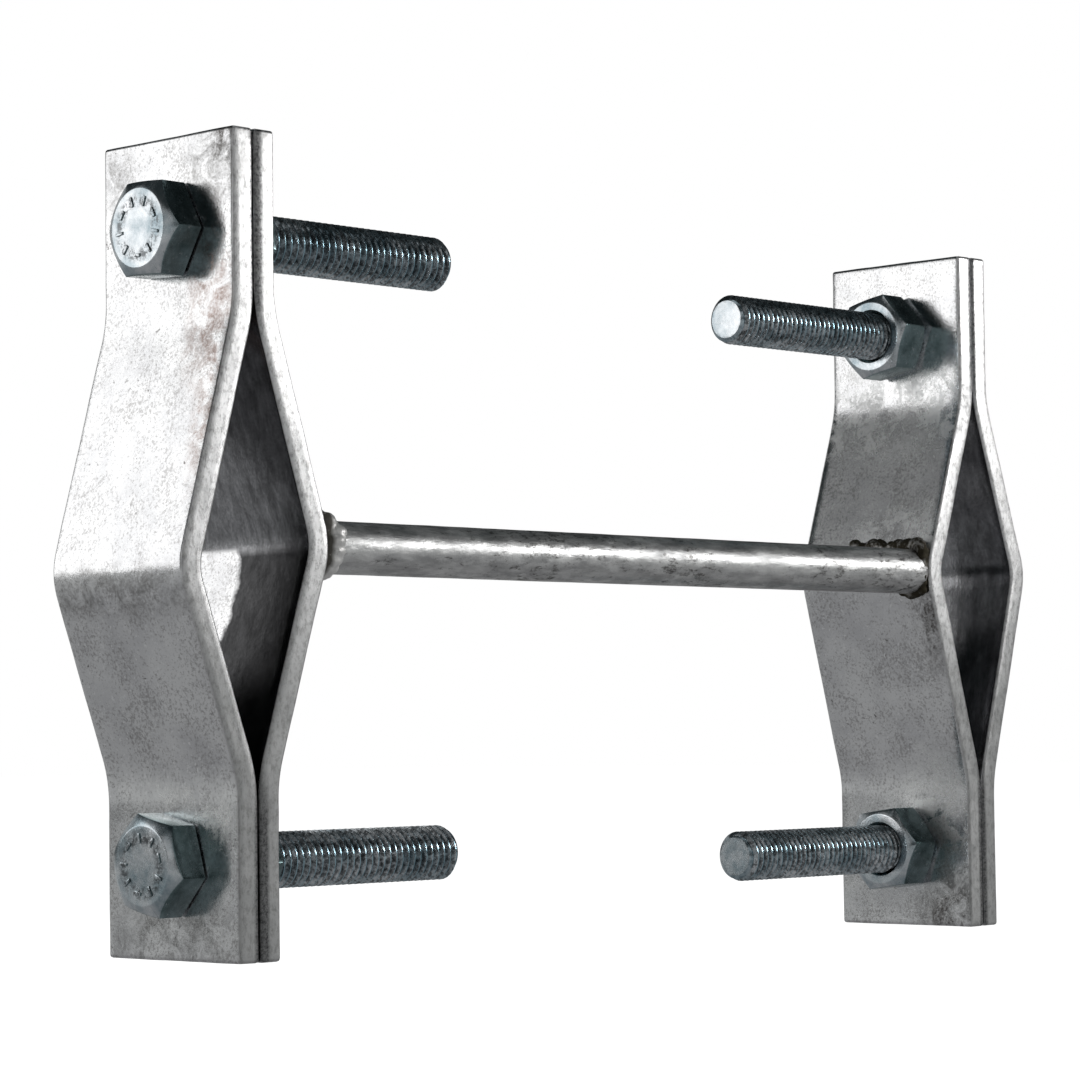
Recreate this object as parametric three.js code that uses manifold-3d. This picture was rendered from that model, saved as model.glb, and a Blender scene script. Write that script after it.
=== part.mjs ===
// A double strap clamp that holds two tubes a fixed distance apart.
//
// Each clamp is a pair of flat straps folded to a shallow V, drawn together by two bolts with
// the tube between the folds. A round bar is welded between the two inner straps.
// Sizes are millimetres. X runs along the bar, Z is up, and Z = 0 is the lowest strap end.
// The bar lies near the straps' front edge, on the -Y side.

import * as THREE from "three";
import { mergeVertices } from "three/addons/utils/BufferGeometryUtils.js";
import Module from "manifold-3d";

const wasm = await Module();
wasm.setup();

// Driving dimensions

const gap = 0.3; // clearance between pieces that touch

const strap = {
  length: 140.5, // straight from end to end
  width: 34,
  thick: 4.5,
  foldReach: 12, // how far the fold stands out from the flat ends
  foldRadius: 11, // to the middle of the thickness, as bendRadius is
  bendHeight: 39.5, // bends above and below the strap's middle
  bendRadius: 27,
  holeHeight: 54, // holes above and below the strap's middle
  holeRadius: 5.5,
};

// How far each fold lies above its strap's middle: the straps are folded by hand.
const foldRise = { leftInner: 0, leftOuter: -4.5, rightInner: 3.6, rightOuter: 3.6 };

const bar = { length: 169, radius: 4.65, edgeInset: 4.6 }; // edgeInset: axis from the front edge

const bolt = { radius: 5, length: 65, headHeight: 6.4, tipChamfer: 1.1 };
const nut = { height: 8.4, boreRadius: 5.3 };
const hexagon = { acrossFlats: 16, chamfer: 0.9, faceShare: 0.92 }; // faceShare: end circle's share

const weld = { length: 4, footHeight: 2.7, neckHeight: 0.8, sunk: 2.2 }; // sunk: past the crest
const longBead = { alongFold: 10.7, proud: 2.5, tall: 3.8 }; // half sizes of the right weld's run

const roundSteps = 40; // flats round a full circle
const arcSteps = 8; // flats round one bend of a strap
const overrun = 1; // how far a cutting solid runs past the faces that it cuts
const mergeDistance = 1e-4;

// Heights and places that follow from those

const rightMiddle = strap.length / 2;
const barHeight = rightMiddle + foldRise.rightInner;
const leftMiddle = barHeight - foldRise.leftInner;
const barY = bar.edgeInset - strap.width / 2;
const crestX = bar.length / 2;
const innerMidX = crestX + strap.foldReach + strap.thick / 2;
const outerMidX = innerMidX + strap.thick + gap;
const headX = outerMidX + strap.thick / 2 + gap;
const nutX = innerMidX - strap.thick / 2 - gap;

// Materials

const galvanised = new THREE.MeshStandardMaterial({ color: 0xa4abaf, roughness: 0.5, metalness: 0.85 });
const drawnBar = new THREE.MeshStandardMaterial({ color: 0xb6bbbd, roughness: 0.42, metalness: 0.85 });
const burntWeld = new THREE.MeshStandardMaterial({ color: 0x6b625a, roughness: 0.7, metalness: 0.6 });
const zincPlate = new THREE.MeshStandardMaterial({ color: 0x8d9ba3, roughness: 0.35, metalness: 0.95 });

// Solids

function toSolid(geometry) {
  const bare = geometry.index ? geometry.toNonIndexed() : geometry.clone();
  bare.deleteAttribute("normal");
  bare.deleteAttribute("uv");
  const merged = mergeVertices(bare, mergeDistance);
  const corners = Array.from(merged.index.array);
  const triangles = [];
  for (let i = 0; i < corners.length; i += 3) {
    const [a, b, c] = corners.slice(i, i + 3);
    if (a !== b && b !== c && c !== a) triangles.push(a, b, c);
  }
  const mesh = new wasm.Mesh({
    numProp: 3,
    vertProperties: new Float32Array(merged.attributes.position.array),
    triVerts: new Uint32Array(triangles),
  });
  return new wasm.Manifold(mesh);
}

function toGeometry(solid) {
  const mesh = solid.getMesh();
  const geometry = new THREE.BufferGeometry();
  geometry.setAttribute("position", new THREE.BufferAttribute(mesh.vertProperties, 3));
  geometry.setIndex(new THREE.BufferAttribute(mesh.triVerts, 1));
  geometry.computeVertexNormals();
  return geometry;
}

// A cylinder along X from one place to another.
function rodAlongX(radius, fromX, toX, sides = roundSteps) {
  const cylinder = new THREE.CylinderGeometry(radius, radius, toX - fromX, sides);
  cylinder.rotateZ(-Math.PI / 2);
  return cylinder.translate((fromX + toX) / 2, 0, 0);
}

// A turned shape about the X axis from [x, radius] pairs.
function turnedAlongX(profile) {
  const points = profile.map(([x, radius]) => new THREE.Vector2(radius, x));
  return new THREE.LatheGeometry(points, roundSteps).rotateZ(-Math.PI / 2);
}

// Straps

// One side of a bent strip: straight runs joined by round bends, offset to the left of the line.
function stripSide(line, offset) {
  const points = [];
  line.forEach((corner, i) => {
    const along = (from, to) => new THREE.Vector2(to.x - from.x, to.z - from.z).normalize();
    const before = along(line[Math.max(i - 1, 0)], line[Math.max(i, 1)]);
    const after = along(line[Math.min(i, line.length - 2)], line[Math.min(i + 1, line.length - 1)]);
    const turn = Math.atan2(before.cross(after), before.dot(after));
    const leftBefore = new THREE.Vector2(-before.y, before.x);
    const leftAfter = new THREE.Vector2(-after.y, after.x);
    if (turn === 0) {
      points.push(new THREE.Vector2(corner.x, corner.z).addScaledVector(leftBefore, offset));
      return;
    }
    const side = Math.sign(turn);
    const reach = (side * corner.radius) / (1 + leftBefore.dot(leftAfter));
    const centre = new THREE.Vector2(corner.x, corner.z)
      .addScaledVector(leftBefore, reach)
      .addScaledVector(leftAfter, reach);
    const radius = corner.radius - side * offset;
    const start = leftBefore.multiplyScalar(-side).angle();
    for (let step = 0; step <= arcSteps; step++) {
      const angle = start + (turn * step) / arcSteps;
      points.push(new THREE.Vector2(Math.cos(angle), Math.sin(angle)).multiplyScalar(radius).add(centre));
    }
  });
  return points;
}

// The fold's sharp corner stands out further than its rounded crest.
function foldCorner() {
  const lean = Math.atan2(strap.foldReach, strap.bendHeight);
  return strap.foldReach + strap.foldRadius * (1 / Math.cos(lean) - 1);
}

// A strap without holes, its fold towards +X, standing on end about its own middle.
function strapBlank(rise, thick) {
  const line = [
    { x: 0, z: -strap.length / 2 },
    { x: 0, z: -strap.bendHeight, radius: strap.bendRadius },
    { x: foldCorner(), z: rise, radius: strap.foldRadius },
    { x: 0, z: strap.bendHeight, radius: strap.bendRadius },
    { x: 0, z: strap.length / 2 },
  ];
  const rightSide = stripSide(line, -thick / 2);
  const leftSide = stripSide(line, thick / 2).reverse();
  const outline = new THREE.Shape([...rightSide, ...leftSide]);
  const blank = new THREE.ExtrudeGeometry(outline, { depth: strap.width, bevelEnabled: false });
  return blank.rotateX(Math.PI / 2).translate(0, strap.width / 2, 0);
}

function strapGeometry(rise) {
  let solid = toSolid(strapBlank(rise, strap.thick));
  for (const height of [strap.holeHeight, -strap.holeHeight]) {
    const drill = rodAlongX(strap.holeRadius, -strap.thick, strap.thick);
    drill.translate(0, 0, height);
    solid = solid.subtract(toSolid(drill));
  }
  return toGeometry(solid);
}

// Bolts and nuts

// A hexagonal prism along X with its outer corners chamfered at the far end, or at both ends.
function hexagonSolid(fromX, toX, bothEnds, turn) {
  const cornerRadius = hexagon.acrossFlats / Math.sqrt(3);
  const faceRadius = (hexagon.acrossFlats / 2) * hexagon.faceShare;
  const prism = rodAlongX(cornerRadius, fromX, toX, 6).rotateX(turn);
  const squareStart = [[fromX, cornerRadius]];
  const chamferedStart = [[fromX, faceRadius], [fromX + hexagon.chamfer, cornerRadius]];
  const turned = turnedAlongX([
    [fromX, 0],
    ...(bothEnds ? chamferedStart : squareStart),
    [toX - hexagon.chamfer, cornerRadius],
    [toX, faceRadius],
    [toX, 0],
  ]);
  return toSolid(prism).intersect(toSolid(turned));
}

// A bolt along X: the head's underside at X = 0, the head towards +X.
function boltGeometry(turn) {
  const shank = turnedAlongX([
    [-bolt.length, 0],
    [-bolt.length, bolt.radius - bolt.tipChamfer],
    [-bolt.length + bolt.tipChamfer, bolt.radius],
    [bolt.headHeight / 2, bolt.radius],
    [bolt.headHeight / 2, 0],
  ]);
  return toGeometry(hexagonSolid(0, bolt.headHeight, false, turn).add(toSolid(shank)));
}

// A nut along X, from X = 0 towards -X.
function nutGeometry(turn) {
  const bore = rodAlongX(nut.boreRadius, -nut.height - overrun, overrun);
  return toGeometry(hexagonSolid(-nut.height, 0, true, turn).subtract(toSolid(bore)));
}

// Bar and welds

function barGeometry() {
  return rodAlongX(bar.radius, -crestX + gap, crestX - gap);
}

// A fillet bead round the bar's end, reaching back over the falling sides of the fold. The
// fold's crest is at X = 0, and side is 1 on the right clamp and -1 on the left.
function weldRing(side) {
  const inner = bar.radius + gap;
  const profile = [
    [-weld.length, inner],
    [-weld.length, inner + weld.neckHeight],
    [-weld.length / 2, inner + weld.footHeight / 2],
    [0, inner + weld.footHeight],
    [weld.sunk, inner + weld.footHeight],
    [weld.sunk, inner],
    [-weld.length, inner],
  ].map(([x, radius]) => [side * x, radius]);
  if (side < 0) profile.reverse();
  return toSolid(turnedAlongX(profile).translate(0, barY, 0));
}

// A long bead laid over the crest beside the bar, towards the strap's middle.
function weldRun() {
  const bead = new THREE.SphereGeometry(1, roundSteps / 2, roundSteps / 4);
  bead.scale(longBead.proud, longBead.alongFold, longBead.tall);
  bead.translate(0, barY + longBead.alongFold, bar.radius / 2);
  const barSpace = rodAlongX(bar.radius + gap, -2 * weld.length, weld.length).translate(0, barY, 0);
  return toSolid(bead).subtract(toSolid(barSpace));
}

// Welds stand clear of the strap and stop flush with its front edge.
function weldGeometry(solid, side, rise) {
  const strapSpace = strapBlank(rise, strap.thick + 2 * gap);
  strapSpace.rotateZ(side > 0 ? Math.PI : 0);
  strapSpace.translate(side * (strap.foldReach + strap.thick / 2), 0, -rise);
  const beyondEdge = new THREE.BoxGeometry(2 * strap.width, strap.width, 2 * strap.width);
  beyondEdge.translate(0, -strap.width, 0);
  return toGeometry(solid.subtract(toSolid(strapSpace)).subtract(toSolid(beyondEdge)));
}

// Assembly

function piece(name, geometry, material, x, y, z) {
  const mesh = new THREE.Mesh(geometry, material);
  mesh.name = name;
  mesh.position.set(x, y, z);
  return mesh;
}

// One clamp, with X outwards from the bar and its straps' middle at Z = 0.
function clamp(side, innerRise, outerRise, turns) {
  const group = new THREE.Group();
  const inner = piece(`${side}_inner_strap`, strapGeometry(innerRise), galvanised, innerMidX, 0, 0);
  inner.rotation.z = Math.PI;
  const outer = piece(`${side}_outer_strap`, strapGeometry(outerRise), galvanised, outerMidX, 0, 0);
  group.add(inner, outer);
  for (const [level, height] of [["upper", strap.holeHeight], ["lower", -strap.holeHeight]]) {
    const { head, nut: nutTurn } = turns[level];
    group.add(piece(`${side}_${level}_bolt`, boltGeometry(head), zincPlate, headX, 0, height));
    group.add(piece(`${side}_${level}_nut`, nutGeometry(nutTurn), zincPlate, nutX, 0, height));
  }
  return group;
}

function welds() {
  const left = weldGeometry(weldRing(-1), -1, foldRise.leftInner);
  const right = weldGeometry(weldRing(1).add(weldRun()), 1, foldRise.rightInner);
  return [
    piece("left_weld", left, burntWeld, -crestX, 0, barHeight),
    piece("right_weld", right, burntWeld, crestX, 0, barHeight),
  ];
}

// Each fastener is left at its own angle, in radians from a corner pointing up.
const leftTurns = { upper: { head: 0.49, nut: 0.24 }, lower: { head: 0.3, nut: 0.51 } };
const rightTurns = { upper: { head: 0.23, nut: 0.31 }, lower: { head: 0.44, nut: 0.38 } };

const stabilizer = new THREE.Group();

const leftClamp = clamp("left", foldRise.leftInner, foldRise.leftOuter, leftTurns);
leftClamp.rotation.z = Math.PI;
leftClamp.position.z = leftMiddle;

const rightClamp = clamp("right", foldRise.rightInner, foldRise.rightOuter, rightTurns);
rightClamp.position.z = rightMiddle;

stabilizer.add(leftClamp, rightClamp, ...welds());
stabilizer.add(piece("spacer_rod", barGeometry(), drawnBar, 0, barY, barHeight));

export default stabilizer;
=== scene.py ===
import math
import random

import bpy
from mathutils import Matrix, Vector


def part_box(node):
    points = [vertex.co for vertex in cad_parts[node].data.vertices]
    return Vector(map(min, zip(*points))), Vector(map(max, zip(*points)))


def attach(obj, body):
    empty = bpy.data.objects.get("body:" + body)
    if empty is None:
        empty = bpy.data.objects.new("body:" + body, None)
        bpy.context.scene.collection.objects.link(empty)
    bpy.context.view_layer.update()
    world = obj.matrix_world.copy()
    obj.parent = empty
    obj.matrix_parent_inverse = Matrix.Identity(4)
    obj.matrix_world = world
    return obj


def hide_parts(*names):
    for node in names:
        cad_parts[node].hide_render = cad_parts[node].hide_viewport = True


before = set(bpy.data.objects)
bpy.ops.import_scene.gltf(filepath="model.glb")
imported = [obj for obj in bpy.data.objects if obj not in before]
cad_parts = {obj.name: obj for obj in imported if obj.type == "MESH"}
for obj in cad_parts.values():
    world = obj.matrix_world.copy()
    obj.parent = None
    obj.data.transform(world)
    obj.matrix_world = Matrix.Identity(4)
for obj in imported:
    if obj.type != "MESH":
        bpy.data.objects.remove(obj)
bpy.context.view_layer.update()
mm = 0.001
print("frame loaded")


# working with objects and selections


def clear():
    if bpy.context.object and bpy.context.object.mode != "OBJECT":
        bpy.ops.object.mode_set(mode="OBJECT")
    bpy.ops.object.select_all(action="DESELECT")


def hold(obj):
    clear()
    obj.select_set(True)
    bpy.context.view_layer.objects.active = obj
    return obj


def newest(name):
    obj = bpy.context.object
    obj.name = name
    obj.data.name = name
    return obj


def pickFaces(obj, test):
    bpy.ops.object.mode_set(mode="EDIT")
    bpy.ops.mesh.select_mode(type="FACE")
    bpy.ops.mesh.select_all(action="DESELECT")
    bpy.ops.object.mode_set(mode="OBJECT")
    for face in obj.data.polygons:
        face.select = test(face)
    bpy.ops.object.mode_set(mode="EDIT")


def modify(obj, kind, **settings):
    hold(obj)
    modifier = obj.modifiers.new(kind.title(), kind)
    for key, value in settings.items():
        setattr(modifier, key, value)
    bpy.ops.object.modifier_apply(modifier=modifier.name)


def cut(obj, tool, how="DIFFERENCE"):
    modify(obj, "BOOLEAN", operation=how, object=tool, solver="EXACT")
    bpy.data.objects.remove(tool, do_unlink=True)


def applyPlace(obj):
    hold(obj)
    bpy.ops.object.transform_apply(location=True, rotation=True, scale=True)


def copyTo(obj, name):
    hold(obj)
    bpy.ops.object.duplicate()
    return newest(name)


def tidyNormals(obj):
    hold(obj)
    bpy.ops.object.mode_set(mode="EDIT")
    bpy.ops.mesh.select_all(action="SELECT")
    bpy.ops.mesh.remove_doubles(threshold=0.002 * mm)
    bpy.ops.mesh.normals_make_consistent(inside=False)
    bpy.ops.object.mode_set(mode="OBJECT")


def finishPiece(obj, body, material, nodes, smoothAngle=35):
    hold(obj)
    bpy.ops.object.shade_smooth_by_angle(angle=math.radians(smoothAngle))
    obj.data.materials.clear()
    obj.data.materials.append(material)
    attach(obj, body)
    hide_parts(*nodes)


# materials


def add(tree, kind, values=None, **settings):
    node = tree.nodes.new(kind)
    for key, value in settings.items():
        setattr(node, key, value)
    for key, value in (values or {}).items():
        socket = node.inputs[key]
        if isinstance(value, bpy.types.NodeSocket):
            tree.links.new(value, socket)
        else:
            socket.default_value = value
    return node


def objectPlace(tree):
    return add(tree, "ShaderNodeTexCoord").outputs["Object"]


def stretched(tree, place, scale):
    return add(tree, "ShaderNodeMapping", {"Vector": place, "Scale": scale}).outputs["Vector"]


def noise(tree, place, scale, detail=3.0, rough=0.5, twist=0.0):
    values = {"Vector": place, "Scale": scale, "Detail": detail}
    values.update({"Roughness": rough, "Distortion": twist})
    return add(tree, "ShaderNodeTexNoise", values).outputs["Fac"]


def spread(tree, value, low, high, outLow=0.0, outHigh=1.0):
    values = {"Value": value, "From Min": low, "From Max": high, "To Min": outLow, "To Max": outHigh}
    return add(tree, "ShaderNodeMapRange", values).outputs["Result"]


def maths(tree, how, a, b=0.0):
    return add(tree, "ShaderNodeMath", {0: a, 1: b}, operation=how).outputs[0]


def blend(tree, amount, first, second):
    node = tree.nodes.new("ShaderNodeMix")
    node.data_type = "RGBA"
    node.blend_type = "MIX"
    for index, value in ((0, amount), (6, first), (7, second)):
        if isinstance(value, bpy.types.NodeSocket):
            tree.links.new(value, node.inputs[index])
        else:
            node.inputs[index].default_value = value
    return node.outputs[2]


def near(tree, place, centre, reach, stretch=(1, 1, 1)):
    # 1 at the centre, falling to 0 at the reach, in mm
    moved = add(tree, "ShaderNodeVectorMath", {0: place, 1: [c * mm for c in centre]}, operation="SUBTRACT")
    shaped = add(tree, "ShaderNodeVectorMath", {0: moved.outputs[0], 1: stretch}, operation="MULTIPLY")
    length = add(tree, "ShaderNodeVectorMath", {0: shaped.outputs[0]}, operation="LENGTH").outputs["Value"]
    return spread(tree, length, reach * mm, 0.0)


def bump(tree, height, distance, strength=1.0, under=None):
    values = {"Height": height, "Distance": distance * mm, "Strength": strength}
    if under is not None:
        values["Normal"] = under
    return add(tree, "ShaderNodeBump", values).outputs["Normal"]


def newMaterial(name, metallic):
    material = bpy.data.materials.new(name)
    material.use_nodes = True
    tree = material.node_tree
    shader = tree.nodes["Principled BSDF"]
    shader.inputs["Metallic"].default_value = metallic
    return material, tree, shader


# colours, then the least and most roughness, and in mm where the joint between two straps and its middle are
galvanisedLook = {
    "bright": (0.90, 0.90, 0.90, 1),
    "dull": (0.72, 0.72, 0.73, 1),
    "speck": (0.36, 0.35, 0.345, 1),
    "pit": (0.13, 0.12, 0.115, 1),
    "seamShade": (0.075, 0.075, 0.078, 1),
    "roughLow": 0.075,
    "roughHigh": 0.21,
    "jointX": 101.15,
    "middleZ": 72.0,
}


def makeGalvanised(name, insideFace, insideShadeTones, stains=(), paintedReflectionPatch=None, seam=1.5):
    # insideFace is the side of the plate, +1 or -1 along X, that is dull and darkened, partly as duller zinc
    # and partly as painted shade; the next argument gives the brightness of that painted shade above and
    # below the fold, and seam how far the painted shade along the joint between two straps reaches, in mm
    look = galvanisedLook
    material, tree, shader = newMaterial(name, 1.0)
    place = objectPlace(tree)
    split = add(tree, "ShaderNodeSeparateXYZ", {0: place})
    cloud = noise(tree, place, 75.0, 5.0, 0.65)
    grain = noise(tree, place, 1700.0, 4.0, 0.78)
    tone = blend(tree, spread(tree, cloud, 0.36, 0.62), look["dull"], look["bright"])
    # dark grain is all over, and thicker in some places than in others
    zones = spread(tree, noise(tree, place, 130.0, 5.0, 0.72), 0.34, 0.68, 0.60, 0.44)
    specks = spread(tree, maths(tree, "SUBTRACT", grain, zones), -0.02, 0.10, 0.0, 0.72)
    tone = blend(tree, specks, tone, look["speck"])
    pits = noise(tree, place, 900.0, 5.0, 0.74, 0.4)
    patches = spread(tree, noise(tree, place, 95.0, 3.0, 0.6), 0.35, 0.7, 0.69, 0.59)
    tone = blend(tree, spread(tree, maths(tree, "SUBTRACT", pits, patches), 0.0, 0.07), tone, look["pit"])
    spangle = noise(tree, place, 1150.0, 4.0, 0.7)
    tone = blend(tree, spread(tree, spangle, 0.59, 0.66, 0.0, 0.9), tone, (0.98, 0.98, 0.98, 1))
    rough = spread(tree, noise(tree, place, 240.0, 6.0, 0.72), 0.3, 0.7, look["roughLow"], look["roughHigh"])
    if insideFace:
        facing = add(tree, "ShaderNodeSeparateXYZ", {0: add(tree, "ShaderNodeTexCoord").outputs["Normal"]})
        dull = spread(tree, maths(tree, "MULTIPLY", facing.outputs["X"], insideFace), 0.55, 0.8)
        scoured = noise(tree, stretched(tree, place, (1, 1, 0.3)), 520.0, 5.0, 0.75)
        # painted shade: the inside face is darkened, with its own brightness above and below the fold
        level = spread(tree, split.outputs["Z"], 72.5 * mm, 75 * mm, insideShadeTones[1], insideShadeTones[0])
        level = maths(tree, "MULTIPLY", level, spread(tree, scoured, 0.36, 0.66, 0.6, 1.35))
        level = maths(tree, "MULTIPLY", level, spread(tree, grain, 0.35, 0.65, 0.8, 1.2))
        bluer = maths(tree, "MULTIPLY", level, 1.03)
        inner = add(tree, "ShaderNodeCombineColor", {0: level, 1: level, 2: bluer}).outputs["Color"]
        # painted reflection: a round patch low on the dark inside, near the far edge, takes back the face's
        # bright tone and stands in for the light panel seen past the other strap
        if paintedReflectionPatch:
            centre, reach, stretch, topZ = paintedReflectionPatch
            ragged = spread(tree, noise(tree, place, 210.0, 4.0, 0.6), 0.3, 0.7, -0.04, 0.04)
            clear = maths(tree, "ADD", near(tree, place, centre, reach, stretch), ragged)
            below = spread(tree, split.outputs["Z"], topZ * mm, (topZ - 0.8) * mm)
            clear = maths(tree, "MULTIPLY", spread(tree, clear, 0.05, 0.10), below)
            inner = blend(tree, clear, inner, tone)
        tone = blend(tree, dull, tone, inner)
        rough = maths(tree, "ADD", rough, maths(tree, "MULTIPLY", dull, 0.06))
    for centre, reach, stretch, colour, extraRough in stains:
        mask = near(tree, place, centre, reach, stretch)
        speckled = spread(tree, noise(tree, place, 1300.0, 6.0, 0.8), 0.42, 0.58, 0.35, 0.95)
        wisps = spread(tree, noise(tree, place, 240.0, 5.0, 0.7, 0.8), 0.40, 0.58)
        mottled = maths(tree, "MULTIPLY", speckled, wisps)
        mottled = maths(tree, "MULTIPLY", spread(tree, mask, 0.0, 0.6), mottled)
        tone = blend(tree, mottled, tone, colour)
        rough = maths(tree, "ADD", rough, maths(tree, "MULTIPLY", mottled, extraRough))
    # sheared edges are rougher than the rolled faces; their colour is painted lighter towards the top as
    # painted light and darker towards the bottom as painted shade
    edge = spread(tree, maths(tree, "ABSOLUTE", split.outputs["Y"]), 16.5 * mm, 16.85 * mm)
    height = spread(tree, split.outputs["Z"], 52 * mm, 78 * mm)
    sheared = blend(tree, height, (0.60, 0.60, 0.595, 1), (0.93, 0.925, 0.92, 1))
    torn = noise(tree, stretched(tree, place, (1, 1, 0.6)), 1000.0, 6.0, 0.8)
    torn = spread(tree, torn, 0.47, 0.62, 0.0, 0.7)
    sheared = blend(tree, torn, sheared, (0.30, 0.295, 0.29, 1))
    # painted shade: the sheared edges are darkened along the joint where two straps lie together, where shade
    # falls between them
    joint = maths(tree, "SUBTRACT", maths(tree, "ABSOLUTE", split.outputs["X"]), look["jointX"] * mm)
    joint = spread(tree, maths(tree, "ABSOLUTE", joint), seam * mm, (seam - 0.7) * mm)
    flat = maths(tree, "ABSOLUTE", maths(tree, "SUBTRACT", split.outputs["Z"], look["middleZ"] * mm))
    flat = spread(tree, flat, 35 * mm, 44 * mm)
    seamShading = maths(tree, "MULTIPLY", joint, flat)
    seamShading = maths(tree, "MULTIPLY", seamShading, spread(tree, grain, 0.36, 0.58, 1.0, 0.55))
    sheared = blend(tree, seamShading, sheared, look["seamShade"])
    tone = blend(tree, edge, tone, sheared)
    tree.links.new(tone, shader.inputs["Base Color"])
    rough = maths(tree, "ADD", rough, maths(tree, "MULTIPLY", edge, 0.22))
    tree.links.new(rough, shader.inputs["Roughness"])
    fine = bump(tree, grain, 0.05, 0.35)
    lumps = bump(tree, noise(tree, place, 230.0, 3.0, 0.5), 0.10, 0.22, fine)
    tree.links.new(bump(tree, noise(tree, place, 52.0, 2.0, 0.5), 0.3, 0.15, lumps), shader.inputs["Normal"])
    return material


def makeBarMetal():
    material, tree, shader = newMaterial("galvanisedBar", 1.0)
    place = objectPlace(tree)
    along = stretched(tree, place, (0.25, 1.0, 1.0))
    streak = noise(tree, along, 620.0, 4.0, 0.6)
    tone = blend(tree, spread(tree, streak, 0.35, 0.65), (0.46, 0.46, 0.46, 1), (0.78, 0.78, 0.77, 1))
    flecks = noise(tree, stretched(tree, place, (0.35, 1.0, 1.0)), 1000.0, 6.0, 0.8, 0.2)
    zones = spread(tree, noise(tree, place, 48.0, 4.0, 0.65), 0.38, 0.62, 0.66, 0.49)
    dark = spread(tree, maths(tree, "SUBTRACT", flecks, zones), 0.0, 0.08, 0.0, 0.85)
    tone = blend(tree, dark, tone, (0.14, 0.135, 0.13, 1))
    # brighter rubbed patches
    rubbed = noise(tree, stretched(tree, place, (0.5, 1.0, 1.0)), 420.0, 5.0, 0.7)
    rubbed = spread(tree, rubbed, 0.52, 0.66, 0.0, 0.6)
    tone = blend(tree, rubbed, tone, (0.92, 0.92, 0.91, 1))
    tree.links.new(tone, shader.inputs["Base Color"])
    rough = spread(tree, noise(tree, along, 300.0, 5.0, 0.7), 0.3, 0.7, 0.30, 0.56)
    tree.links.new(rough, shader.inputs["Roughness"])
    fine = bump(tree, streak, 0.08, 0.8)
    tree.links.new(bump(tree, noise(tree, place, 190.0, 5.0, 0.65), 0.34, 0.6, fine), shader.inputs["Normal"])
    return material


# face colours go on the end faces and side colours on the flats; the two differ partly as real wear and
# partly as painted highlight and painted shade
zincLook = {
    "faceDark": (0.33, 0.41, 0.45, 1),
    "faceBright": (0.84, 0.86, 0.88, 1),
    "sideDark": (0.10, 0.15, 0.155, 1),
    "sideBright": (0.29, 0.38, 0.40, 1),
    "shankDark": (0.20, 0.33, 0.39, 1),
    "shankBright": (0.46, 0.65, 0.74, 1),
    "grime": (0.10, 0.105, 0.11, 1),
}


def makeZincPlate(name, middle):
    # the plating is blue on threads; the end faces are brighter, partly worn plating and partly painted
    # highlight, and the flats nearly black, partly dark plating and partly painted shade
    # middle is the height halfway between the clamp's two bolts, in mm
    look = zincLook
    material, tree, shader = newMaterial(name, 1.0)
    place = objectPlace(tree)
    patch = spread(tree, noise(tree, place, 150.0, 5.0, 0.68), 0.35, 0.65)
    normal = add(tree, "ShaderNodeTexCoord").outputs["Normal"]
    # painted light: surfaces facing along the bolt take the bright face colours, the flats take the dark side
    # colours
    ends = add(tree, "ShaderNodeSeparateXYZ", {0: normal}).outputs["X"]
    ends = spread(tree, maths(tree, "ABSOLUTE", ends), 0.62, 0.82)
    split = add(tree, "ShaderNodeSeparateXYZ", {0: place})
    farOut = spread(tree, maths(tree, "ABSOLUTE", split.outputs["X"]), 86.6 * mm, 87.2 * mm)
    sides = blend(tree, patch, look["sideDark"], look["sideBright"])
    shank = blend(tree, patch, look["shankDark"], look["shankBright"])
    faces = blend(tree, patch, look["faceDark"], look["faceBright"])
    # grime lies in a ring among the marks on the heads
    rise = maths(tree, "ABSOLUTE", maths(tree, "SUBTRACT", split.outputs["Z"], middle * mm))
    rise = maths(tree, "SUBTRACT", rise, strapShape["holeHeight"] * mm)
    squares = [maths(tree, "POWER", rise, 2), maths(tree, "POWER", split.outputs["Y"], 2)]
    out = maths(tree, "POWER", maths(tree, "ADD", *squares), 0.5)
    fromRing = maths(tree, "ABSOLUTE", maths(tree, "SUBTRACT", out, headShape["markRing"] * mm))
    ring = spread(tree, fromRing, 1.5 * mm, 0.5 * mm)
    grime = spread(tree, noise(tree, place, 1000.0, 5.0, 0.75), 0.46, 0.56, 0.0, 0.85)
    faces = blend(tree, maths(tree, "MULTIPLY", ring, grime), faces, look["grime"])
    tone = blend(tree, farOut, shank, sides)
    tone = blend(tree, ends, tone, faces)
    wear = noise(tree, place, 900.0, 5.0, 0.75)
    tone = blend(tree, spread(tree, wear, 0.60, 0.70, 0.0, 0.6), tone, (0.82, 0.87, 0.90, 1))
    spots = noise(tree, place, 700.0, 5.0, 0.76)
    tone = blend(tree, spread(tree, spots, 0.65, 0.73, 0.0, 0.6), tone, (0.08, 0.09, 0.09, 1))
    tree.links.new(tone, shader.inputs["Base Color"])
    rough = spread(tree, noise(tree, place, 450.0, 5.0, 0.7), 0.3, 0.7, 0.14, 0.34)
    tree.links.new(rough, shader.inputs["Roughness"])
    fine = bump(tree, wear, 0.03, 0.5)
    tree.links.new(bump(tree, spots, 0.06, 0.4, fine), shader.inputs["Normal"])
    return material


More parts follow.
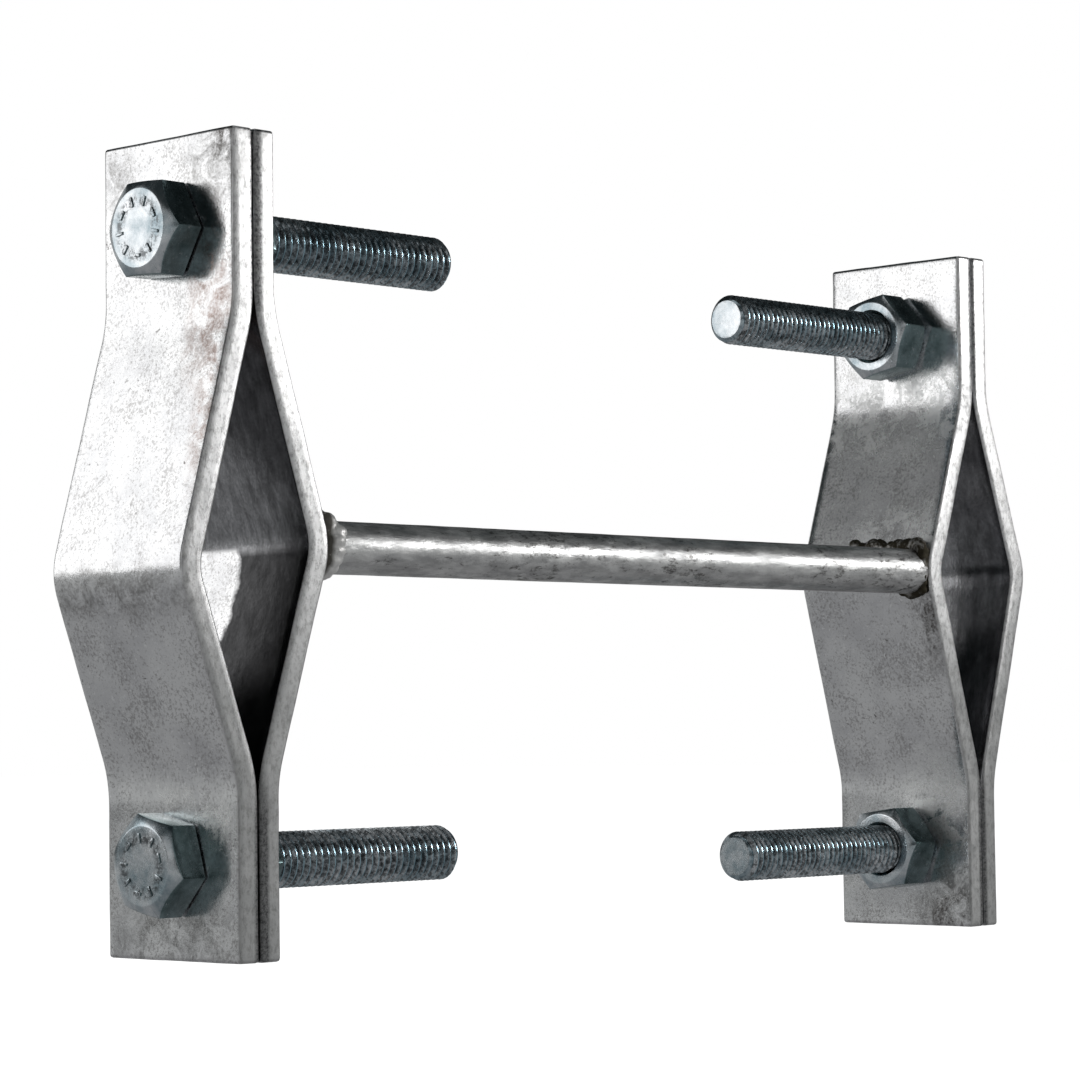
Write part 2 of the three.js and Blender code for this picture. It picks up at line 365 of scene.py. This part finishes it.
def makeWeldMetal(name, burnt):
    # burnt is how much of the bead is brown scale instead of bright metal, and the bead is painted black next
    # to the strap as painted shade in the corner
    material, tree, shader = newMaterial(name, 0.45 + 0.5 * burnt)
    place = objectPlace(tree)
    burn = noise(tree, place, 300.0, 5.0, 0.7, 0.4)
    edge = 0.36 + 0.32 * burnt
    clean = spread(tree, burn, edge - 0.12, edge + 0.04)
    out = add(tree, "ShaderNodeSeparateXYZ", {0: place}).outputs["X"]
    # painted shade: next to the strap the bead is forced to its darkest colour
    shadeFrom, shadeTo = (83.5 - 0.6 * burnt) * mm, (84.3 - 0.4 * burnt) * mm
    beside = spread(tree, maths(tree, "ABSOLUTE", out), shadeFrom, shadeTo, 0.0, 0.9)
    clean = maths(tree, "MULTIPLY", clean, maths(tree, "SUBTRACT", 1.0, beside))
    bright = (0.86 - 0.17 * burnt, 0.85 - 0.17 * burnt, 0.83 - 0.17 * burnt, 1)
    tone = blend(tree, clean, (0.058, 0.050, 0.034, 1), bright)
    glint = spread(tree, noise(tree, place, 1000.0, 4.0, 0.7), 0.60, 0.70, 0.0, 0.7 - 0.4 * burnt)
    tone = blend(tree, glint, tone, (0.78, 0.77, 0.74, 1))
    tree.links.new(tone, shader.inputs["Base Color"])
    tree.links.new(spread(tree, clean, 0.0, 1.0, 0.68, 0.44 - 0.14 * burnt), shader.inputs["Roughness"])
    tree.links.new(bump(tree, noise(tree, place, 1100.0, 4.0, 0.6), 0.08, 0.8), shader.inputs["Normal"])
    return material


rust = (0.40, 0.31, 0.28, 1)
soot = (0.10, 0.09, 0.085, 1)
smoke = (0.30, 0.295, 0.29, 1)
ash = (0.97, 0.97, 0.96, 1)
# each stain: its middle and reach in mm, how it is squeezed along X, Y and Z, its colour and added roughness
leftOuterStains = [
    ((-106, -11.0, 116), 13, (0.4, 1.9, 0.65), rust, 0.15),
    ((-106, -15, 100), 12, (0.4, 3.0, 0.55), rust, 0.15),
    ((-106, -12, 138), 10, (0.4, 1.0, 1.2), smoke, 0.15),
    ((-106, 14, 138), 8, (0.4, 1.0, 1.2), smoke, 0.15),
    ((-106, 0, 6), 16, (0.4, 0.8, 1.3), smoke, 0.2),
    ((-106, 1, 32), 11, (0.4, 1.0, 2.4), ash, 0.15),
    ((-106, -9, 24), 10, (0.4, 1.2, 0.8), ash, 0.25),
    ((-106, -17, 143), 6, (0.4, 0.8, 1.0), soot, 0.1),
    ((-117, 0, 66), 9, (0.4, 0.25, 1.6), smoke, 0.1),
]
rightInnerStains = [
    ((85, -9, 82), 16, (0.4, 0.8, 1.9), ash, 0.42),
    ((85, -15, 63), 8, (0.4, 1.6, 0.6), soot, 0.15),
    ((97, -9, 26), 14, (0.4, 1.0, 0.9), ash, 0.3),
    ((97, -12, 16), 12, (0.4, 1.2, 0.7), smoke, 0.25),
    ((97, -14, 3), 12, (0.4, 0.8, 1.6), soot, 0.2),
    ((93, 0, 108), 13, (0.3, 0.2, 1.0), ash, 0.4),
]
leftOuterMetal = makeGalvanised("leftOuterZinc", 1, (0.30, 0.30), leftOuterStains)
# its inside is painted darkest below the fold as painted shade, with a round painted reflection on the lower
# leg near the far edge
leftInnerMetal = makeGalvanised(
    "leftInnerZinc", -1, (0.34, 0.05), (), ((-92, 18, 66), 19.4, (0.25, 1.0, 0.85), 74.2), 2.3
)
rightInnerMetal = makeGalvanised("rightInnerZinc", 1, (0.30, 0.30), rightInnerStains, None, 1.8)
rightOuterMetal = makeGalvanised("rightOuterZinc", -1, (0.50, 0.42))
barMetal = makeBarMetal()
leftWeldMetal = makeWeldMetal("leftWeldMetal", 0.0)
rightWeldMetal = makeWeldMetal("rightWeldMetal", 0.9)
print("materials made")


# straps


# what the node boxes don't say about each folded flat bar, in mm
strapShape = {
    "thick": 4.5,
    "bendHeight": 39.5,
    "bendRadius": 27.0,
    "foldRadius": 11.0,
    "holeHeight": 54.0,
    "holeRadius": 5.5,
    "edgeRound": 0.6,
    "wobble": 0.18,
    "cell": 1.6,
}
# how far each fold stands above the strap's own middle, in mm
foldRise = {
    "left_outer_strap": -4.5,
    "left_inner_strap": 0.0,
    "right_inner_strap": 3.6,
    "right_outer_strap": 3.6,
}


def bend(centre, angle):
    # the spin tool turns the other way to the right-hand rule
    steps = max(3, round(abs(angle) / math.radians(2.5)))
    bpy.ops.mesh.spin(steps=steps, angle=-angle, center=centre, axis=(0, 1, 0))


def push(direction, length):
    steps = max(1, round(length / (strapShape["cell"] * mm)))
    step = [part * length / steps for part in direction]
    for _ in range(steps):
        bpy.ops.mesh.extrude_region_move(TRANSFORM_OT_translate={"value": step})


def makeStrap(name):
    # a section of the bar at the lower end is drawn up, round the bends and over the fold
    low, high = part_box(name)
    shape = {key: value * mm for key, value in strapShape.items()}
    thick, rise = shape["thick"], foldRise[name] * mm
    outwards = 1 if name.endswith("outer_strap") else -1
    side = outwards * (1 if name.startswith("right") else -1)  # the way the fold points, along X
    flatX = (low.x if side > 0 else high.x) + side * thick / 2
    middle = (low.z + high.z) / 2
    reach = (high.x - low.x) - thick
    lean = math.atan2(reach, shape["bendHeight"])
    corner = reach + shape["foldRadius"] * (1 / math.cos(lean) - 1)
    lower = math.atan2(corner, shape["bendHeight"] + rise)
    upper = math.atan2(corner, shape["bendHeight"] - rise)

    clear()
    bpy.ops.mesh.primitive_grid_add(x_subdivisions=3, y_subdivisions=16, size=1, location=(flatX, 0, low.z))
    strap = newest(name.replace("_", "-"))
    strap.scale = (thick, high.y - low.y, 1)
    applyPlace(strap)
    bpy.ops.object.mode_set(mode="EDIT")
    bpy.ops.mesh.select_all(action="SELECT")

    bendCut = shape["bendRadius"] * math.tan(lower / 2)
    foldCut = shape["foldRadius"] * math.tan((lower + upper) / 2)
    push((0, 0, 1), middle - shape["bendHeight"] - bendCut - low.z)
    bend((flatX + side * shape["bendRadius"], 0, middle - shape["bendHeight"] - bendCut), side * lower)
    legLength = math.hypot(corner, shape["bendHeight"] + rise) - bendCut - foldCut
    push((side * math.sin(lower), 0, math.cos(lower)), legLength)
    foldX = flatX + side * (corner - foldCut * math.sin(lower) - shape["foldRadius"] * math.cos(lower))
    foldZ = middle + rise - foldCut * math.cos(lower) + shape["foldRadius"] * math.sin(lower)
    bend((foldX, 0, foldZ), -side * (lower + upper))
    bendCut = shape["bendRadius"] * math.tan(upper / 2)
    legLength = math.hypot(corner, shape["bendHeight"] - rise) - bendCut - foldCut
    push((-side * math.sin(upper), 0, math.cos(upper)), legLength)
    bend((flatX + side * shape["bendRadius"], 0, middle + shape["bendHeight"] + bendCut), side * upper)
    push((0, 0, 1), high.z - middle - shape["bendHeight"] - bendCut)
    bpy.ops.object.mode_set(mode="OBJECT")
    tidyNormals(strap)

    sharp = math.radians(50)
    modify(strap, "BEVEL", width=shape["edgeRound"], segments=3, limit_method="ANGLE", angle_limit=sharp)
    waves = bpy.data.textures.new("plateWaves", "CLOUDS")
    waves.noise_scale = 0.009
    modify(strap, "DISPLACE", texture=waves, texture_coords="GLOBAL", strength=shape["wobble"], mid_level=0.5)
    for height in (shape["holeHeight"], -shape["holeHeight"]):
        cut(strap, makeDrill(shape["holeRadius"], thick, (flatX, 0, middle + height)))
    return strap


def makeDrill(radius, depth, place):
    # a cylinder along X whose ends flare, so that it leaves a small chamfer at each mouth
    clear()
    bpy.ops.mesh.primitive_cylinder_add(vertices=48, radius=radius, depth=depth - 0.8 * mm)
    drill = newest("drill")
    for way in (1, -1):
        pickFaces(drill, lambda face: face.normal.z * way > 0.9)
        bpy.ops.mesh.extrude_region_move(TRANSFORM_OT_translate={"value": (0, 0, way * 0.8 * mm)})
        bpy.ops.transform.resize(value=(1 + 0.8 * mm / radius, 1 + 0.8 * mm / radius, 1))
        bpy.ops.object.mode_set(mode="OBJECT")
    drill.rotation_euler = (0, math.radians(90), 0)
    drill.location = place
    applyPlace(drill)
    return drill


strapBody = {
    "left_outer_strap": ("left_clamp_half", leftOuterMetal),
    "left_inner_strap": ("spacer_frame", leftInnerMetal),
    "right_inner_strap": ("spacer_frame", rightInnerMetal),
    "right_outer_strap": ("right_clamp_half", rightOuterMetal),
}
for name, (body, material) in strapBody.items():
    strap = makeStrap(name)
    finishPiece(strap, body, material, [name])
print("straps bent and drilled")


# bolts and nuts


# sizes in mm: major, minor, bore, mouth and markRing are radii, steps is to each turn of the thread, and
# faceShare is how wide the flat end face is against the width across flats
threadShape = {"pitch": 1.5, "major": 4.98, "minor": 4.08, "steps": 28, "tipChamfer": 1.1}
headShape = {
    "acrossFlats": 16.0,
    "height": 6.4,
    "chamfer": 1.45,
    "faceShare": 0.85,
    "edgeRound": 0.16,
    "marks": 9,
    "markRing": 4.7,
}
nutShape = {
    "acrossFlats": 16.0,
    "height": 8.4,
    "chamfer": 1.05,
    "faceShare": 0.90,
    "edgeRound": 0.14,
    "bore": 5.06,
    "mouth": 5.7,
}
# how far each fastener is turned about its axis, in degrees from a corner pointing to the front
fastenerTurn = {
    "left_upper_bolt": 2.0,
    "left_lower_bolt": 13.0,
    "right_upper_bolt": 17.0,
    "right_lower_bolt": 5.0,
    "left_upper_nut": 16.0,
    "left_lower_nut": 1.0,
    "right_upper_nut": 12.0,
    "right_lower_nut": 8.0,
}


def makeHexagon(name, shape, bothEnds):
    # a hexagonal prism along Z from 0 upwards, its corners turned off at about 30 degrees
    across, height, chamfer = (shape[key] * mm for key in ("acrossFlats", "height", "chamfer"))
    # the prism and the turned blank overshoot each other, so that they share no plane
    corner = across / math.sqrt(3)
    bottom, top = (-0.2 * mm if bothEnds else 0), height + 0.2 * mm
    clear()
    bpy.ops.mesh.primitive_cylinder_add(
        vertices=6, radius=corner, depth=top - bottom, location=(0, 0, (top + bottom) / 2)
    )
    prism = newest(name)
    applyPlace(prism)
    start = chamfer if bothEnds else -0.5 * mm
    middle = (start + height - chamfer) / 2
    bpy.ops.mesh.primitive_cylinder_add(
        vertices=96, radius=corner + 0.01 * mm, depth=height - chamfer - start, location=(0, 0, middle)
    )
    turned = newest("turnedBlank")
    applyPlace(turned)
    face = across / 2 * shape["faceShare"] / corner
    for way in (1, -1) if bothEnds else (1,):
        pickFaces(turned, lambda f: f.normal.z * way > 0.9)
        bpy.ops.mesh.extrude_region_move(TRANSFORM_OT_translate={"value": (0, 0, way * chamfer)})
        bpy.ops.transform.resize(value=(face, face, 1))
        bpy.ops.object.mode_set(mode="OBJECT")
    cut(prism, turned, "INTERSECT")
    rounding = shape["edgeRound"] * mm
    modify(prism, "BEVEL", width=rounding, segments=2, limit_method="ANGLE", angle_limit=math.radians(24))
    return prism


def makeThread(length):
    # one turn of the thread's section, drawn edge by edge, then swept up the screw
    # its start is off by part of a step, so that none of its corners lie in the plane under the head
    pitch, major, minor = (threadShape[key] * mm for key in ("pitch", "major", "minor"))
    clear()
    bpy.ops.mesh.primitive_plane_add(size=0.1 * mm, location=(minor, 0, -1.0137 * pitch))
    thread = newest("thread")
    applyPlace(thread)
    bpy.ops.object.mode_set(mode="EDIT")
    bpy.ops.mesh.select_mode(type="VERT")
    bpy.ops.mesh.select_all(action="SELECT")
    bpy.ops.mesh.merge(type="CENTER")
    rootFlat, crestFlat = pitch / 4, pitch / 8
    flank = (pitch - rootFlat - crestFlat) / 2
    for step in ((0, rootFlat), (major - minor, flank), (0, crestFlat), (minor - major, flank)):
        bpy.ops.mesh.extrude_region_move(TRANSFORM_OT_translate={"value": (step[0], 0, step[1])})
    bpy.ops.object.mode_set(mode="OBJECT")
    turns = math.ceil(length / pitch) + 3
    modify(
        thread,
        "SCREW",
        axis="Z",
        screw_offset=pitch,
        iterations=turns,
        steps=threadShape["steps"],
        render_steps=threadShape["steps"],
        use_merge_vertices=True,
        merge_threshold=0.005 * mm,
    )
    hold(thread)
    bpy.ops.object.mode_set(mode="EDIT")
    bpy.ops.mesh.select_all(action="SELECT")
    bpy.ops.mesh.remove_doubles(threshold=0.005 * mm)
    bpy.ops.mesh.fill_holes(sides=0)
    bpy.ops.mesh.normals_make_consistent(inside=False)
    bpy.ops.object.mode_set(mode="OBJECT")
    return thread


def makeShankBlank(length, sunk):
    # the rod that the thread is cut from, with a turned lead at its tip, from under the head upwards
    lead, radius = threadShape["tipChamfer"] * mm, threadShape["major"] * mm + 0.01 * mm
    clear()
    depth = length - lead + sunk
    middle = depth / 2 - sunk
    bpy.ops.mesh.primitive_cylinder_add(vertices=64, radius=radius, depth=depth, location=(0, 0, middle))
    blank = newest("shankBlank")
    applyPlace(blank)
    pickFaces(blank, lambda face: face.normal.z > 0.9)
    bpy.ops.mesh.extrude_region_move(TRANSFORM_OT_translate={"value": (0, 0, lead)})
    bpy.ops.transform.resize(value=(0.76, 0.76, 1))
    bpy.ops.object.mode_set(mode="OBJECT")
    return blank


def makeBolt(length):
    # the head lies below Z = 0 and the shank above it
    sunk = 1.0 * mm
    shank = makeShankBlank(length, sunk)
    cut(shank, makeThread(length), "INTERSECT")
    bolt = makeHexagon("bolt", headShape, False)
    for mark in headMarks():
        cut(bolt, mark, "UNION")
    bolt.rotation_euler = (math.radians(180), 0, 0)
    applyPlace(bolt)
    cut(bolt, shank, "UNION")
    return bolt


def headMarks():
    # a ring of plain raised dashes on the head's face
    count = headShape["marks"]
    marks = []
    for index in range(count):
        turn = 2 * math.pi * index / count
        clear()
        bpy.ops.mesh.primitive_cube_add(size=1)
        mark = newest("mark")
        mark.scale = (1.8 * mm, 0.55 * mm, 0.36 * mm) if index % 3 else (0.6 * mm, 1.7 * mm, 0.36 * mm)
        mark.rotation_euler = (0, 0, turn)
        radius = headShape["markRing"] * mm
        top = (headShape["height"] + 0.04) * mm
        mark.location = (radius * math.cos(turn), radius * math.sin(turn), top)
        applyPlace(mark)
        modify(mark, "BEVEL", width=0.1 * mm, segments=2)
        marks.append(mark)
    return marks


def makeNut():
    # the nut stands on Z = 0
    shape = nutShape
    height = shape["height"] * mm
    nut = makeHexagon("nut", shape, True)
    clear()
    bpy.ops.mesh.primitive_cylinder_add(
        vertices=64, radius=shape["bore"] * mm, depth=height - 1.2 * mm, location=(0, 0, height / 2)
    )
    bore = newest("bore")
    applyPlace(bore)
    flare = shape["mouth"] / shape["bore"]
    for way in (1, -1):
        pickFaces(bore, lambda face: face.normal.z * way > 0.9)
        bpy.ops.mesh.extrude_region_move(TRANSFORM_OT_translate={"value": (0, 0, way * 0.65 * mm)})
        bpy.ops.transform.resize(value=(flare, flare, 1))
        bpy.ops.object.mode_set(mode="OBJECT")
    cut(nut, bore)
    return nut


def placeAlongX(obj, place, side, turn):
    # side is the way that the piece's own +Z comes to point along X
    obj.rotation_euler = (0, 0, math.radians(turn))
    applyPlace(obj)
    obj.rotation_euler = (0, math.radians(90 * side), 0)
    obj.location = place
    applyPlace(obj)


def boltMiddle(side):
    heights = [corner.z for level in ("upper", "lower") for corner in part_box(f"{side}_{level}_nut")]
    return sum(heights) / len(heights) / mm


leftPlating = makeZincPlate("leftBlueZinc", boltMiddle("left"))
rightPlating = makeZincPlate("rightBlueZinc", boltMiddle("right"))
low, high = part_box("left_upper_bolt")
boltLength = high.x - low.x - headShape["height"] * mm
boltModel = makeBolt(boltLength)
nutModel = makeNut()
for side, inwards, zincPlate in (("left", 1, leftPlating), ("right", -1, rightPlating)):
    for level in ("upper", "lower"):
        name = f"{side}_{level}_bolt"
        low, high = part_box(name)
        bolt = copyTo(boltModel, f"{side}-{level}-bolt")
        underHead = low.x + headShape["height"] * mm if inwards > 0 else high.x - headShape["height"] * mm
        axisZ = sum(corner.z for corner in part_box(f"{side}_{level}_nut")) / 2
        placeAlongX(bolt, (underHead, 0, axisZ), inwards, fastenerTurn[name])
        finishPiece(bolt, f"{side}_clamp_half", zincPlate, [name], 28)
        name = f"{side}_{level}_nut"
        low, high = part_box(name)
        nut = copyTo(nutModel, f"{side}-{level}-nut")
        seat = low.x if inwards > 0 else high.x
        placeAlongX(nut, (seat, 0, axisZ), inwards, fastenerTurn[name])
        finishPiece(nut, name, zincPlate, [name], 28)
for model in (boltModel, nutModel):
    bpy.data.objects.remove(model, do_unlink=True)
print("bolts and nuts cut")


# bar and welds


# sizes in mm, besides the counts of drops, the share and the rounds of smoothing
barShape = {"dent": 0.08, "edgeRound": 0.35}
weldShape = {
    "ringDrops": 17,
    "ringRadius": 5.1,
    "coneRadius": 4.5,
    "frontLimit": -15.6,
    "fallAway": 0.9,
    "lowerShare": 0.72,
    "runDrops": 11,
    "smoothing": {"left": 14, "right": 4},
}


def makeBar():
    low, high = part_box("spacer_rod")
    radius = (high.z - low.z) / 2
    length = high.x - low.x
    centre = (low + high) / 2
    clear()
    bpy.ops.mesh.primitive_cylinder_add(
        vertices=48, radius=radius, depth=length, location=centre, rotation=(0, math.radians(90), 0)
    )
    bar = newest("spacer-rod")
    applyPlace(bar)
    rounding = barShape["edgeRound"] * mm
    modify(bar, "BEVEL", width=rounding, segments=2, limit_method="ANGLE", angle_limit=1.0)
    hold(bar)
    bpy.ops.object.mode_set(mode="EDIT")
    count = 90
    for index in range(1, count):
        bpy.ops.mesh.select_all(action="SELECT")
        bpy.ops.mesh.bisect(plane_co=(low.x + length * index / count, 0, 0), plane_no=(1, 0, 0))
    bpy.ops.object.mode_set(mode="OBJECT")
    dents = bpy.data.textures.new("barDents", "CLOUDS")
    dents.noise_scale = 0.006
    depth = barShape["dent"] * mm
    modify(bar, "DISPLACE", texture=dents, texture_coords="GLOBAL", strength=depth, mid_level=0.5)
    return bar


def droplet(place, radius, squash):
    clear()
    middle = [c * mm for c in place]
    bpy.ops.mesh.primitive_ico_sphere_add(subdivisions=2, radius=radius * mm, location=middle)
    drop = newest("drop")
    drop.scale = squash
    applyPlace(drop)
    return drop


def makeWeld(name, drops, smoothing):
    # overlapping drops are run together into one bead, then roughened
    parts = [droplet(place, radius, squash) for place, radius, squash in drops]
    clear()
    for part in parts:
        part.select_set(True)
    bpy.context.view_layer.objects.active = parts[0]
    bpy.ops.object.join()
    bead = newest(name)
    modify(bead, "REMESH", mode="VOXEL", voxel_size=0.22 * mm)
    modify(bead, "SMOOTH", factor=0.5, iterations=smoothing)
    crust = bpy.data.textures.new("weldCrust", "CLOUDS")
    crust.noise_scale = 0.0016
    modify(bead, "DISPLACE", texture=crust, texture_coords="GLOBAL", strength=0.35 * mm, mid_level=0.5)
    return bead


def ringDrops(crest, side, rng):
    # drops round the end of the bar, each lying back on the fold that falls away above and below
    drops = []
    for index in range(weldShape["ringDrops"]):
        turn = 2 * math.pi * index / weldShape["ringDrops"]
        low = math.sin(turn) < -0.2
        radius = weldShape["ringRadius"] + rng.uniform(-0.2, 0.3) - (0.5 if low else 0)
        y = max(barY + radius * math.cos(turn), weldShape["frontLimit"])
        back = weldShape["fallAway"] * math.sin(turn) ** 2
        x = crest + side * (back - 0.8 + rng.uniform(-0.3, 0.2))
        size = rng.uniform(1.4, 1.9) * (weldShape["lowerShare"] if low else 1)
        drops.append(((x, y, barZ + radius * math.sin(turn)), size, (1.2, 1, 1)))
    return drops


def coneDrops(start, rng):
    # smaller drops that carry the bead on along the bar
    drops = []
    for index in range(weldShape["ringDrops"]):
        turn = 2 * math.pi * index / weldShape["ringDrops"]
        radius = weldShape["coneRadius"] + rng.uniform(-0.15, 0.15)
        x = start + rng.uniform(-0.5, 0.5)
        place = (x, barY + radius * math.cos(turn), barZ + radius * math.sin(turn))
        drops.append((place, rng.uniform(1.2, 1.5), (1.6, 1, 1)))
    return drops


def runDrops(crest, rng):
    # a row of fat drops over the bar, from the strap's front edge towards its middle
    drops = []
    count = weldShape["runDrops"]
    for index in range(count):
        along = index / (count - 1)
        lift = 4.9 + 0.8 * along + 0.45 * math.cos(along * 19)
        place = (crest - 0.9 + 0.5 * along, -14.6 + 16.6 * along, barZ + lift)
        drops.append((place, (1.5 + rng.uniform(-0.2, 0.3)) * (1 - 0.15 * along), (1, 1.15, 1)))
    return drops


barLow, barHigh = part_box("spacer_rod")
barY = (barLow.y + barHigh.y) / 2 / mm
barZ = (barLow.z + barHigh.z) / 2 / mm
bar = makeBar()
finishPiece(bar, "spacer_frame", barMetal, ["spacer_rod"], 40)

rng = random.Random(7)
leftDrops = ringDrops(barLow.x / mm - 0.3, -1, rng)
leftDrops += coneDrops(barLow.x / mm + 1.6, rng)
leftWeld = makeWeld("left-weld", leftDrops, weldShape["smoothing"]["left"])
finishPiece(leftWeld, "spacer_frame", leftWeldMetal, ["left_weld"], 60)

rightDrops = ringDrops(barHigh.x / mm + 0.3, 1, rng) + runDrops(barHigh.x / mm + 0.3, rng)
rightWeld = makeWeld("right-weld", rightDrops, weldShape["smoothing"]["right"])
finishPiece(rightWeld, "spacer_frame", rightWeldMetal, ["right_weld"], 60)
print("bar welded in")


# studio


studio = {
    "cameraPlace": (-0.49040, -0.45214, 0.04067),
    "cameraTurn": (93.243, 0.758, -46.437),
    "lens": 115.73,
    "overhead": (0.030, 0.036, 0.038),
    "wall": (0.016, 0.021, 0.022),
    "horizon": (0.42, 0.43, 0.43),
    "table": (0.27, 0.275, 0.28),
    "under": (0.22, 0.22, 0.225),
}

# each panel: where its middle is and what it faces, in mm, then its width, height and brightness
panels = {
    "backLeft": ((-375, 345, 205), (-100, 0, 205), 330, 270, 1.3),
    "highLeft": ((-375, 345, 432), (-100, 0, 432), 330, 180, 0.21),
    "frontRight": ((630, -520, 300), (0, -12, 74), 200, 125, 20.0),
    "back": ((60, 900, 300), (0, 0, 75), 640, 420, 0.38),
    "left": ((-900, -60, 300), (0, 0, 75), 560, 420, 0.38),
    "front": ((-60, -900, 300), (0, 0, 75), 560, 420, 0.38),
    "right": ((900, 0, 270), (0, 0, 75), 480, 360, 0.30),
    "highFrontLeft": ((-600, -620, 440), (0, 0, 75), 560, 380, 0.38),
    "highFrontRight": ((600, -620, 400), (0, 0, 75), 520, 380, 0.15),
    "overhead": ((0, 0, 950), (0, 0, 75), 700, 560, 0.55),
}


def makeCamera():
    clear()
    turn = [math.radians(angle) for angle in studio["cameraTurn"]]
    bpy.ops.object.camera_add(location=studio["cameraPlace"], rotation=turn)
    camera = bpy.context.object
    camera.data.lens = studio["lens"]
    camera.data.sensor_width = 36
    camera.data.clip_start = 0.01
    camera.data.clip_end = 50
    bpy.context.scene.camera = camera


def makePanel(name, place, aim, width, height, brightness):
    clear()
    bpy.ops.object.light_add(type="AREA", location=[c * mm for c in place])
    light = bpy.context.object
    light.name = name
    light.data.shape = "RECTANGLE"
    light.data.size = width * mm
    light.data.size_y = height * mm
    light.data.energy = brightness * math.pi * width * mm * height * mm
    light.visible_camera = False
    way = Vector([a - p for a, p in zip(aim, place)])
    light.rotation_euler = way.to_track_quat("-Z", "Y").to_euler()


def makeWorld():
    world = bpy.data.worlds.new("studioWorld")
    bpy.context.scene.world = world
    world.use_nodes = True
    tree = world.node_tree
    tree.nodes.clear()
    way = add(tree, "ShaderNodeTexCoord").outputs["Generated"]
    up = add(tree, "ShaderNodeSeparateXYZ", {0: way}).outputs["Z"]
    ramp = add(tree, "ShaderNodeValToRGB", {"Fac": spread(tree, up, -1.0, 1.0)})
    stops = ramp.color_ramp
    stops.elements[0].color = (*studio["under"], 1)
    stops.elements[1].color = (*studio["overhead"], 1)
    for rise, tone in ((-0.35, "table"), (-0.05, "horizon"), (0.03, "wall"), (0.5, "wall")):
        stop = stops.elements.new(0.5 + rise / 2)
        stop.color = (*studio[tone], 1)
    surroundings = add(tree, "ShaderNodeBackground", {"Color": ramp.outputs["Color"], "Strength": 1.0})
    backdrop = add(tree, "ShaderNodeBackground", {"Color": (1, 1, 1, 1), "Strength": 1.0})
    seen = add(tree, "ShaderNodeLightPath").outputs["Is Camera Ray"]
    both = add(tree, "ShaderNodeMixShader", {0: seen, 1: surroundings.outputs[0], 2: backdrop.outputs[0]})
    add(tree, "ShaderNodeOutputWorld", {"Surface": both.outputs[0]})


def makeFloor():
    clear()
    bpy.ops.mesh.primitive_plane_add(size=6, location=(0, 0, -0.0005))
    floor = newest("floor")
    material, _, shader = newMaterial("paleFloor", 0.0)
    shader.inputs["Base Color"].default_value = (0.5, 0.5, 0.5, 1)
    shader.inputs["Roughness"].default_value = 1.0
    shader.inputs["Specular IOR Level"].default_value = 0.0
    shader.inputs["Emission Color"].default_value = (1, 1, 1, 1)
    shader.inputs["Emission Strength"].default_value = 1.0
    floor.data.materials.append(material)
    floor.visible_glossy = False
    floor.visible_diffuse = False


makeCamera()
makeWorld()
makeFloor()
for name, setting in panels.items():
    makePanel(name, *setting)
bpy.context.scene.view_settings.view_transform = "Standard"
print("studio lit")
